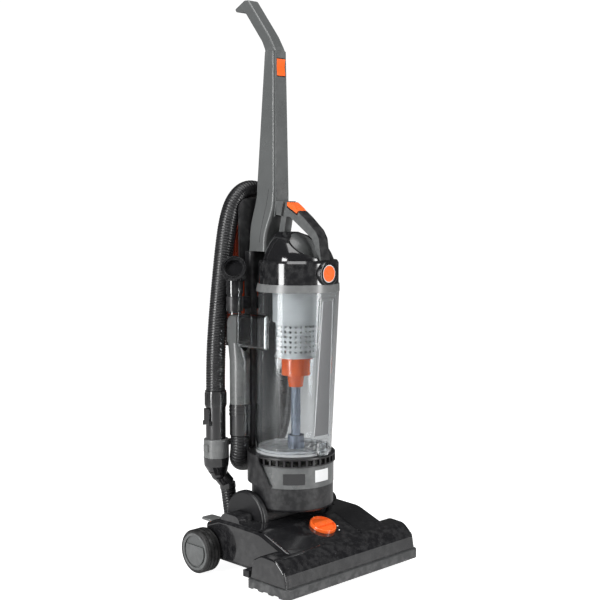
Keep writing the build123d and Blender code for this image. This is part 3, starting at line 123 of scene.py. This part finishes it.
def moulded(name, colour, rough, grain=(2600, 0.10), wear=0.35, coat=0.0, specular=0.5,
            mottle=0.05, dust=0.012):
    """Moulded plastic or rubber: fine grain, faint mottling, paler rubbed edges and a little dust."""
    material, nodes, links, shader = new_material(name)
    place = nodes.new("ShaderNodeTexCoord").outputs["Object"]
    broad = noise_node(nodes, links, place, 14, 3)
    colour_out = mix_colour(nodes, links, ramp(nodes, links, broad, 0.35, 0.65, 0, 1),
                            scaled(colour, 1 - mottle), scaled(colour, 1 + mottle))
    edges = nodes.new("ShaderNodeNewGeometry").outputs["Pointiness"]
    scuff = noise_node(nodes, links, place, 90, 6)
    rubbed = nodes.new("ShaderNodeMath")
    rubbed.operation = "MULTIPLY"
    links.new(ramp(nodes, links, edges, 0.505, 0.56, 0, wear), rubbed.inputs[0])
    links.new(ramp(nodes, links, scuff, 0.42, 0.62, 0, 1), rubbed.inputs[1])
    pale = tuple(c * 0.7 + 0.12 for c in colour)
    colour_out = mix_colour(nodes, links, rubbed.outputs[0], colour_out, pale)
    specks = noise_node(nodes, links, place, 420, 8)
    dusty = ramp(nodes, links, specks, 0.62, 0.76, 0, dust)
    colour_out = mix_colour(nodes, links, dusty, colour_out, (0.55, 0.53, 0.5))
    links.new(colour_out, shader.inputs["Base Color"])
    smear = noise_node(nodes, links, place, 30, 5)
    smoothest = max(0.02, rough - 0.06)
    links.new(ramp(nodes, links, smear, 0.3, 0.7, smoothest, rough + 0.08), shader.inputs["Roughness"])
    bump = nodes.new("ShaderNodeBump")
    bump.inputs["Strength"].default_value = grain[1]
    bump.inputs["Distance"].default_value = 0.0004
    links.new(noise_node(nodes, links, place, grain[0], 3), bump.inputs["Height"])
    links.new(bump.outputs["Normal"], shader.inputs["Normal"])
    shader.inputs["Coat Weight"].default_value = coat
    shader.inputs["Coat Roughness"].default_value = 0.06
    shader.inputs["Specular IOR Level"].default_value = specular
    return material


def clear_plastic(name, tint, rough, haze=0.0):
    """Clear polycarbonate with faint flow lines and scuffs in its roughness."""
    material, nodes, links, shader = new_material(name)
    place = nodes.new("ShaderNodeTexCoord").outputs["Object"]
    scuff = noise_node(nodes, links, place, 60, 6, (1, 1, 0.2))
    links.new(ramp(nodes, links, scuff, 0.4, 0.75, rough, rough + 0.09), shader.inputs["Roughness"])
    flow = noise_node(nodes, links, place, 16, 2, (1, 1, 0.1))
    links.new(mix_colour(nodes, links, ramp(nodes, links, flow, 0.3, 0.7, 0, 1), tint, scaled(tint, 0.97)),
              shader.inputs["Base Color"])
    shader.inputs["Transmission Weight"].default_value = 1.0 - haze
    shader.inputs["IOR"].default_value = 1.32
    bump = nodes.new("ShaderNodeBump")
    bump.inputs["Strength"].default_value = 0.04
    bump.inputs["Distance"].default_value = 0.0005
    links.new(flow, bump.inputs["Height"])
    links.new(bump.outputs["Normal"], shader.inputs["Normal"])
    return material


def metal(name, colour, rough):
    """Metal with faint lines across it."""
    material, nodes, links, shader = new_material(name)
    place = nodes.new("ShaderNodeTexCoord").outputs["Object"]
    lines = noise_node(nodes, links, place, 300, 5, (1, 1, 8))
    links.new(ramp(nodes, links, lines, 0.3, 0.7, rough - 0.08, rough + 0.1), shader.inputs["Roughness"])
    colour_out = mix_colour(nodes, links, lines, scaled(colour, 0.85), scaled(colour, 1.1))
    links.new(colour_out, shader.inputs["Base Color"])
    shader.inputs["Metallic"].default_value = 1.0
    return material


BLACK_GLOSS = moulded("black_gloss", (0.009, 0.009, 0.01), 0.12, (900, 0.02), 0.12, 0.6, 0.5, 0.05, 0.008)
BLACK_SATIN = moulded("black_satin", (0.010, 0.010, 0.011), 0.34, (2600, 0.12), 0.15, 0.0, 0.42)
BLACK_HOSE = moulded("hose_black", (0.010, 0.010, 0.011), 0.3, (1800, 0.08), 0.2, 0.0, 0.5)
BUMPER = moulded("bumper_grey", (0.035, 0.036, 0.037), 0.42, (2200, 0.2), 0.4)
GREY = moulded("grey_satin", (0.088, 0.092, 0.092), 0.3, (2400, 0.12), 0.25, 0.15)
GREY_PALE = moulded("grey_pale", (0.12, 0.124, 0.124), 0.3, (2400, 0.12), 0.25, 0.15)
ORANGE = moulded("orange", (0.85, 0.13, 0.02), 0.24, (1600, 0.06), 0.15, 0.3)
ORANGE_CLEAR = moulded("orange_clear", (0.95, 0.16, 0.03), 0.2, (1200, 0.05), 0.1, 0.3)
ORANGE_CLEAR.node_tree.nodes["Principled BSDF"].inputs["Transmission Weight"].default_value = 0.35
RUBBER = moulded("rubber", (0.012, 0.012, 0.012), 0.6, (1500, 0.25), 0.4)
TYRE = moulded("tyre", (0.011, 0.011, 0.011), 0.5, (1300, 0.3), 0.3, 0.0, 0.4, 0.1, 0.03)
SCREEN = moulded("screen_grey", (0.5, 0.52, 0.53), 0.4, (2000, 0.1), 0.1)
TUBE_BLUE = moulded("tube_blue", (0.16, 0.19, 0.25), 0.25, (1500, 0.06), 0.1, 0.2)
WHITE = moulded("white_trim", (0.75, 0.75, 0.74), 0.4, (1500, 0.05), 0.1)
CORD_ORANGE = moulded("cord_orange", (0.62, 0.07, 0.015), 0.42, (3000, 0.2), 0.1, 0.0, 0.45)
BRISTLE = moulded("bristle", (0.03, 0.03, 0.032), 0.55, (4000, 0.2), 0.2)
FOAM = moulded("filter_fleece", (0.42, 0.42, 0.4), 0.9, (2200, 0.8), 0.0)
CLEAR = clear_plastic("clear", (0.93, 0.95, 0.96), 0.03)
CLEAR_HAZE = clear_plastic("clear_haze", (0.9, 0.92, 0.94), 0.16, 0.35)
STEEL = metal("steel", (0.6, 0.6, 0.6), 0.3)


def paint(material, *names):
    """Gives CAD nodes a finished material."""
    for name in names:
        slots = NODES[name].material_slots
        if not slots:
            NODES[name].data.materials.append(material)
        for slot in slots:
            slot.material = material


paint(BLACK_GLOSS, "hood", "rear_deck", "end_caps", "cup_lid", "valve_elbow", "duct_cuff", "hose_cuff",
      "wand", "dusting_brush", "hose_latch")
paint(BLACK_SATIN, "chassis", "lower_housing", "vent_ring", "spine", "soleplate", "roller_carriage",
      "tool_holder", "brush_bearings", "carry_grip", "upper_cord_hook")
paint(BUMPER, "bumper")
paint(GREY, "handle_shell", "handle_cover", "grip", "inlet_duct", "carry_handle", "lid_cap", "motor_cover",
      "left_wheel_hub", "right_wheel_hub", "motor_rotor")
paint(GREY_PALE, "valve_sleeve", "cup_collar", "release_pedal")
paint(ORANGE, "height_dial", "power_switch", "cup_release")
paint(ORANGE_CLEAR, "separator_cone")
paint(CLEAR, "dust_cup", "door_latch")
paint(CLEAR_HAZE, "cup_door")
paint(SCREEN, "separator_shroud")
paint(TUBE_BLUE, "centre_tube")
paint(RUBBER, "drive_belt", "duct_gasket", "long_hose", "lower_hose", "strain_relief", "plug")
paint(TYRE, "left_wheel_tyre", "right_wheel_tyre", "front_rollers")
paint(STEEL, "base_screws", "axle_pins", "motor_can")
paint(CORD_ORANGE, "cord_winding", "cord_lead", "cord_tail")
paint(BRISTLE, "brush_roll")
paint(FOAM, "exhaust_filter")


# ---------------------------------------------------------------- helpers for shapes
def piece(name, vertices, faces, material, body, smooth=True):
    """A mesh piece in the frame, riding on a body."""
    mesh = bpy.data.meshes.new(name)
    mesh.from_pydata([tuple(v) for v in vertices], [], faces)
    mesh.update()
    work = bmesh.new()
    work.from_mesh(mesh)
    bmesh.ops.recalc_face_normals(work, faces=work.faces)
    work.to_mesh(mesh)
    work.free()
    mesh.materials.append(material)
    obj = bpy.data.objects.new(name, mesh)
    bpy.context.scene.collection.objects.link(obj)
    if smooth:
        mesh.shade_smooth()
    if body:
        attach(obj, body)
    return obj


def skin(rings, closed_ends=True, loop=True):
    """Vertices and faces of a surface through rings of equal length."""
    vertices = [p for ring in rings for p in ring]
    count = len(rings[0])
    faces = []
    for row in range(len(rings) - 1):
        for i in range(count if loop else count - 1):
            j = (i + 1) % count
            a, b = row * count, (row + 1) * count
            faces.append((a + i, a + j, b + j, b + i))
    if closed_ends:
        faces.append(tuple(range(count - 1, -1, -1)))
        faces.append(tuple(range(len(vertices) - count, len(vertices))))
    return vertices, faces


def frames_along(path):
    """Two unit vectors square to the path at each point, without twist."""
    side = None
    out = []
    for i, point in enumerate(path):
        ahead = path[min(i + 1, len(path) - 1)] - path[max(i - 1, 0)]
        ahead.normalize()
        if side is None:
            side = ahead.orthogonal().normalized()
        side = (side - ahead * side.dot(ahead)).normalized()
        out.append((side.copy(), ahead.cross(side)))
    return out


def resampled(path, step):
    """Points at even steps along a polyline."""
    out, left = [path[0]], step
    for a, b in zip(path, path[1:]):
        span = (b - a).length
        while span >= left and span > 0:
            a = a.lerp(b, left / span)
            out.append(a)
            span = (b - a).length
            left = step
        left -= span
    out.append(path[-1])
    return out


def route_curve(name, points, radius=0.0):
    """A NURBS curve with the route's points as its control points."""
    curve = bpy.data.curves.new(name, "CURVE")
    curve.dimensions = "3D"
    spline = curve.splines.new("NURBS")
    spline.points.add(len(points) - 1)
    for slot, point in zip(spline.points, points):
        slot.co = (*point, 1)
    spline.order_u = 3
    spline.use_endpoint_u = True
    spline.resolution_u = 12
    curve.bevel_depth = radius
    curve.bevel_resolution = 5
    curve.use_fill_caps = radius > 0
    obj = bpy.data.objects.new(name, curve)
    bpy.context.scene.collection.objects.link(obj)
    return obj


def spline_points(points):
    """Points along the NURBS spline of a route."""
    obj = route_curve("route", points)
    bpy.context.view_layer.update()
    mesh = bpy.data.meshes.new_from_object(obj)
    path = [v.co.copy() for v in mesh.vertices]
    data = obj.data
    bpy.data.objects.remove(obj)
    bpy.data.curves.remove(data)
    bpy.data.meshes.remove(mesh)
    return path


def ring_about(point, side, up, radius, sides):
    """Points of a circle about a point, in the plane of side and up."""
    return [point + (side * cos(2 * pi * k / sides) + up * sin(2 * pi * k / sides)) * radius
            for k in range(sides)]


def ribbed(along, pitch, valley, rib):
    """The radius at a distance along a tube with rounded ribs and narrow valleys between them."""
    phase = (along / pitch) % 1.0
    return valley + rib * sqrt(max(0.0, 1 - (2 * phase - 1) ** 4))


def ribbed_tube(name, path, profile, step, sides, material, body):
    """A tube whose radius follows profile(distance along it)."""
    path = resampled(path, step)
    rings, along = [], 0.0
    for i, (point, (side, up)) in enumerate(zip(path, frames_along(path))):
        if i:
            along += (point - path[i - 1]).length
        rings.append(ring_about(point, side, up, profile(along), sides))
    vertices, faces = skin(rings)
    return piece(name, vertices, faces, material, body), path


# ---------------------------------------------------------------- long hose
HOSE_ROUTE = [
    (-67, 75, 257), (-67, 75, 230), (-60, 88, 207), (-36, 105, 194), (-6, 116, 191), (24, 119, 195),
    (54, 119, 209), (76, 118, 234), (87, 117, 268), (92, 116, 325), (93, 115, 402), (88, 115, 480),
    (80, 115, 560), (75, 115, 630), (64, 115, 680), (45, 115, 718), (15, 115, 740), (-19, 115, 738),
    (-46, 115, 714), (-61, 115, 676), (-71, 115, 622), (-80, 115, 556), (-90, 114, 480), (-98, 112, 405),
    (-98, 112, 345),
]
HOSE_PITCH = 0.0052
HOSE_VALLEY, HOSE_RIB = 0.0171, 0.0018


def hose_radius(along):
    """The long hose's radius at a distance along it."""
    return ribbed(along, HOSE_PITCH, HOSE_VALLEY, HOSE_RIB)


hose_line = spline_points([at(*p) for p in HOSE_ROUTE])
long_hose, hose_path = ribbed_tube(
    "long_hose_ribbed", hose_line, hose_radius, HOSE_PITCH / 7, 40, BLACK_HOSE, "upright")
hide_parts("long_hose")

# ---------------------------------------------------------------- power cord
CORD_LEAD_ROUTE = [(30, 120.5, 246), (30, 120.5, 262), (28.5, 121.5, 280)]
CORD_TAIL_ROUTE = [(-37, 119.5, 560), (-47, 120, 536), (-54, 121, 512), (-54, 121, 484)]
CORD_RADIUS = 0.0039
LOW_HOOK, HIGH_HOOK = 335, 634
ROWS, ROW_PITCH, ROW_FIRST = 5, 7.82, 103.9
LAYER_RADII = (20.1, 28.2, 36.2)
TURNS = 14
TURN_POINTS = 9


def winding_points(turns):
    """Control points of the cord wound round the two hooks, layer on layer, back and forth along Y."""
    points = []
    per_layer = ROWS - 1
    for count in range(turns):
        layer, row = divmod(count, ROWS)
        for k in range(2 * TURN_POINTS):
            share = k / (2 * TURN_POINTS)
            travel = min(row + share, per_layer)
            radius = LAYER_RADII[layer]
            if row == per_layer and layer + 1 < len(LAYER_RADII):
                radius += (LAYER_RADII[layer + 1] - radius) * share
            across = travel if layer % 2 == 0 else per_layer - travel
            y = ROW_FIRST + ROW_PITCH * across
            top = k < TURN_POINTS
            angle = pi * ((k if top else k - TURN_POINTS) / (TURN_POINTS - 1))
            stretch = radius / cos(pi / (TURN_POINTS - 1) / 2) ** 2
            if top:
                points.append((stretch * cos(angle), y, HIGH_HOOK + stretch * sin(angle)))
            else:
                points.append((-stretch * cos(angle), y, LOW_HOOK - stretch * sin(angle)))
    return points


cord_route = CORD_LEAD_ROUTE + winding_points(TURNS)[:-TURN_POINTS] + CORD_TAIL_ROUTE
power_cord = route_curve("power_cord", [at(*p) for p in cord_route], CORD_RADIUS)
power_cord.data.materials.append(CORD_ORANGE)
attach(power_cord, "upright")
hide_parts("cord_winding", "cord_lead", "cord_tail")
cord_line = spline_points([at(*p) for p in cord_route])

# ---------------------------------------------------------------- short lower hose
LOWER_HOSE = [at(-74.0, 104.0, 148.0), at(-66.0, 97.0, 62.0)]
LOWER_PITCH = 0.0056
LOWER_VALLEY, LOWER_RIB = 0.0131, 0.0017
LOWER_STEP = 0.0008


def lower_radius(along):
    """The lower hose's radius at a distance along it."""
    return ribbed(along, LOWER_PITCH, LOWER_VALLEY, LOWER_RIB)


lower_hose, _ = ribbed_tube(
    "lower_hose_ribbed", LOWER_HOSE, lower_radius, LOWER_STEP, 36, BLACK_HOSE, None)
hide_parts("lower_hose")
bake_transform(lower_hose)


# ---------------------------------------------------------------- small trim laid on the CAD surfaces
def hit(node, origin, direction):
    """Where a ray first meets a CAD node, and the surface's outward direction there."""
    obj = NODES[node]
    back = obj.matrix_world.inverted()
    start = back @ Vector(origin)
    aim = (back.to_3x3() @ Vector(direction)).normalized()
    found, place, normal, _ = obj.ray_cast(start, aim)
    if not found:
        return None
    return obj.matrix_world @ place, (obj.matrix_world.to_3x3() @ normal).normalized()


def decal(name, node, rays, columns, lift, material, body):
    """A thin skin over a CAD surface; rays lists (origin, direction) row by row."""
    points = []
    for origin, direction in rays:
        found = hit(node, origin, direction)
        if found is None:
            print("decal", name, "misses", node)
            return None
        place, normal = found
        points.append(place + normal * lift)
    rows = len(points) // columns
    faces = []
    for r in range(rows - 1):
        for c in range(columns - 1):
            i = r * columns + c
            faces.append((i, i + 1, i + columns + 1, i + columns))
    return piece(name, points, faces, material, body)


def disc(name, centre, normal, radius, thickness, material, body, inner=0.0, sides=64):
    """A round plate, or a ring where inner is given, standing on centre along normal."""
    axis = Vector(normal).normalized()
    side = axis.orthogonal().normalized()
    up = axis.cross(side)
    rings = []
    bevel = min(0.0006, thickness / 2)
    rim = [(radius, 0), (radius, thickness - bevel), (radius - bevel, thickness)]
    for r, h in [(inner, 0), *rim, (inner, thickness)]:
        rings.append(ring_about(Vector(centre) + axis * h, side, up, max(r, 1e-5), sides))
    vertices, faces = skin(rings, closed_ends=False)
    last = len(vertices) - sides
    for i in range(sides):
        j = (i + 1) % sides
        faces.append((last + i, last + j, j, i))
    return piece(name, vertices, faces, material, body, smooth=False)


def bar(name, path, radius, material, body, sides=10):
    """A thin round line along a path, for seams and beads."""
    rings = []
    for point, (side, up) in zip(path, frames_along(path)):
        rings.append(ring_about(point, side, up, radius, sides))
    vertices, faces = skin(rings)
    return piece(name, vertices, faces, material, body)


def around(z, y, start, stop, count, reach=0.3):
    """Rays aimed at an upright axis from outside; angles in degrees from the front, to the left."""
    rays = []
    for k in range(count):
        angle = radians(start + (stop - start) * k / (count - 1))
        out = Vector((-sin(angle), -cos(angle), 0))
        rays.append((at(0, y, z) + out * reach, -out))
    return rays


# The round badge: a plain disc with a pale rim.
disc("badge_rim", at(0, -101.6, 580), (0, -1, 0), 0.0169, 0.0014, WHITE, "dirt_cup")
disc("badge_face", at(0, -103.0, 580), (0, -1, 0), 0.0152, 0.0005, ORANGE, "dirt_cup")

# The blank label on the cup's front, wider towards the foot, and its raised border.
label_rays = []
LABEL_ROWS, LABEL_COLUMNS = 40, 9
for row in range(LABEL_ROWS):
    share = row / (LABEL_ROWS - 1)
    z = 528 - 258 * share
    half = 12.2 + 6.2 * share
    for column in range(LABEL_COLUMNS):
        x = half * (2 * column / (LABEL_COLUMNS - 1) - 1)
        label_rays.append((at(x, -200, z), Vector((0, 1, 0))))
LABEL = moulded("label_grey", (0.11, 0.113, 0.117), 0.5, (1500, 0.03), 0.0)
decal("cup_label", "dust_cup", label_rays, LABEL_COLUMNS, 0.00025, LABEL, "dirt_cup")
for side in (-1, 1):
    edge = []
    for row in range(LABEL_ROWS):
        share = row / (LABEL_ROWS - 1)
        found = hit("dust_cup", at(side * (13.2 + 6.2 * share), -200, 530 - 262 * share), Vector((0, 1, 0)))
        if found:
            edge.append(found[0])
    bar(f"label_border_{'left' if side < 0 else 'right'}", edge, 0.0009, CLEAR_HAZE, "dirt_cup")

# The window and the blank rating sticker on the grey motor cover.
rays = []
for row in range(8):
    rays += around(199.5 - 3.0 * row, -4, 27, 57, 24)
WINDOW = moulded("window_dark", (0.006, 0.006, 0.007), 0.06, (900, 0.01), 0.0, 0.8, 0.5, 0.0, 0.0)
decal("cover_window", "motor_cover", rays, 24, 0.0003, WINDOW, "upright")
rays = []
for row in range(8):
    rays += around(204 - 3.3 * row, -4, -13, 12, 16)
STICKER = moulded("sticker", (0.72, 0.73, 0.73), 0.35, (1500, 0.02), 0.0)
decal("cover_sticker", "motor_cover", rays, 16, 0.0003, STICKER, "upright")

# Pale dots on the wheels' hubs.
disc("left_hub_dot", at(-172.6, 88, 42.2), (-1, 0, 0), 0.0042, 0.0012, WHITE, "left_wheel")
disc("right_hub_dot", at(172.6, 88, 42.2), (1, 0, 0), 0.0042, 0.0012, WHITE, "right_wheel")

# Pale ticks beside the height dial.
dial_tilt = radians(20)
dial_axis = Vector((0, -sin(dial_tilt), cos(dial_tilt)))
dial_fore = Vector((0, -cos(dial_tilt), -sin(dial_tilt)))
for count in range(6):
    turn = radians(-78 + 24 * count)
    out = Vector((1, 0, 0)) * cos(turn) + dial_fore * sin(turn)
    found = hit("hood", at(0, -87, 93) + out * 0.033 + dial_axis * 0.05, -dial_axis)
    if found:
        disc(f"dial_tick_{count}", found[0], found[1], 0.0017, 0.0004, WHITE, "base", sides=24)

# The fine dark seams of the handle's socket.
for side in (-1, 1):
    seam = []
    for count in range(30):
        z = 636 + 3.6 * count
        found = hit("handle_shell", at(side * 200, 56 - 0.12 * (z - 636), z), Vector((-side, 0, 0)))
        if found:
            seam.append(found[0])
    name = f"socket_seam_{'left' if side < 0 else 'right'}"
    bar(name, seam, 0.00045, BLACK_SATIN, "upright")


# ---------------------------------------------------------------- bristles
def bristle_field(name, roots, body, thick=0.00022):
    """Thin tapering bristles from (root, tip) pairs."""
    vertices, faces = [], []
    for root, tip in roots:
        ahead = (tip - root).normalized()
        side = ahead.orthogonal().normalized() * thick
        up = ahead.cross(side)
        first = len(vertices)
        for point, share in ((root, 1.0), (tip, 0.45)):
            for angle in (0, 2 * pi / 3, 4 * pi / 3):
                vertices.append(point + (side * cos(angle) + up * sin(angle)) * share)
        for i in range(3):
            j = (i + 1) % 3
            faces.append((first + i, first + j, first + 3 + j, first + 3 + i))
        faces.append((first + 3, first + 4, first + 5))
    return piece(name, vertices, faces, BRISTLE, body, smooth=False)


BRISTLE_COUNT = 1500
GOLDEN_ANGLE, GOLDEN_SHARE = 2.399963, 0.6180339
roots = []
facing = Vector((-0.66, -0.62, 0.42)).normalized()
across_face = facing.orthogonal().normalized()
up_face = facing.cross(across_face)
head = at(-84, 70, 583)
for count in range(BRISTLE_COUNT):
    turn = GOLDEN_ANGLE * count
    radius = 0.0176 + 0.0066 * ((count * GOLDEN_SHARE) % 1.0)
    out = across_face * cos(turn) + up_face * sin(turn)
    start = head + facing * 0.0112 + out * radius
    lean = noise.noise(Vector((count * 0.37, 0.2, 0.9))) * 0.0009
    end = head + facing * (0.0152 + 0.0006 * sin(count)) + out * (radius + lean)
    roots.append((start, end))
bristle_field("dusting_bristles", roots, "dusting_brush")

# ---------------------------------------------------------------- floor and light
floor_mesh = bpy.data.meshes.new("floor")
floor_mesh.from_pydata([(-6, -6, 0), (6, -6, 0), (6, 6, 0), (-6, 6, 0)], [], [(0, 1, 2, 3)])
floor = bpy.data.objects.new("floor", floor_mesh)
floor_material, floor_nodes, floor_links, floor_shader = new_material("floor")
floor_shader.inputs["Base Color"].default_value = (0.55, 0.55, 0.55, 1)
floor_shader.inputs["Roughness"].default_value = 0.75
floor_shader.inputs["Specular IOR Level"].default_value = 0.15
floor_shader.inputs["Emission Color"].default_value = (1, 1, 1, 1)
seen = floor_nodes.new("ShaderNodeLightPath").outputs["Is Camera Ray"]
glow = ramp(floor_nodes, floor_links, seen, 0, 1, 0.12, 0.94)
floor_links.new(glow, floor_shader.inputs["Emission Strength"])
floor_mesh.materials.append(floor_material)
bpy.context.scene.collection.objects.link(floor)

world = bpy.data.worlds.new("world")
world.use_nodes = True
sky = world.node_tree.nodes["Background"]
sky.inputs["Color"].default_value = (1, 1, 1, 1)
world_nodes, world_links = world.node_tree.nodes, world.node_tree.links
ray = world_nodes.new("ShaderNodeLightPath")
lighting = ramp(world_nodes, world_links, ray.outputs["Is Glossy Ray"], 0, 1, 0.24, 0.05)
strength = world_nodes.new("ShaderNodeMix")
strength.inputs["B"].default_value = 1.05
world_links.new(ray.outputs["Is Camera Ray"], strength.inputs["Factor"])
world_links.new(lighting, strength.inputs["A"])
world_links.new(strength.outputs["Result"], sky.inputs["Strength"])
bpy.context.scene.world = world
bpy.context.scene.view_settings.view_transform = "Standard"


def panel_light(name, place, target, size, power):
    """A rectangular light aimed at a target."""
    data = bpy.data.lights.new(name, "AREA")
    data.shape = "RECTANGLE"
    data.size, data.size_y = size
    data.energy = power
    obj = bpy.data.objects.new(name, data)
    obj.location = place
    obj.rotation_euler = (Vector(target) - Vector(place)).to_track_quat("-Z", "Y").to_euler()
    bpy.context.scene.collection.objects.link(obj)


panel_light("left_strip", (-1.8, 0.1, 0.85), (0, 0, 0.55), (0.5, 1.7), 40)
panel_light("right_strip", (0.5, -1.75, 0.85), (0, 0, 0.55), (0.4, 1.7), 32)
panel_light("top", (-0.4, -0.3, 2.6), (0, 0, 0.4), (1.6, 1.6), 34)
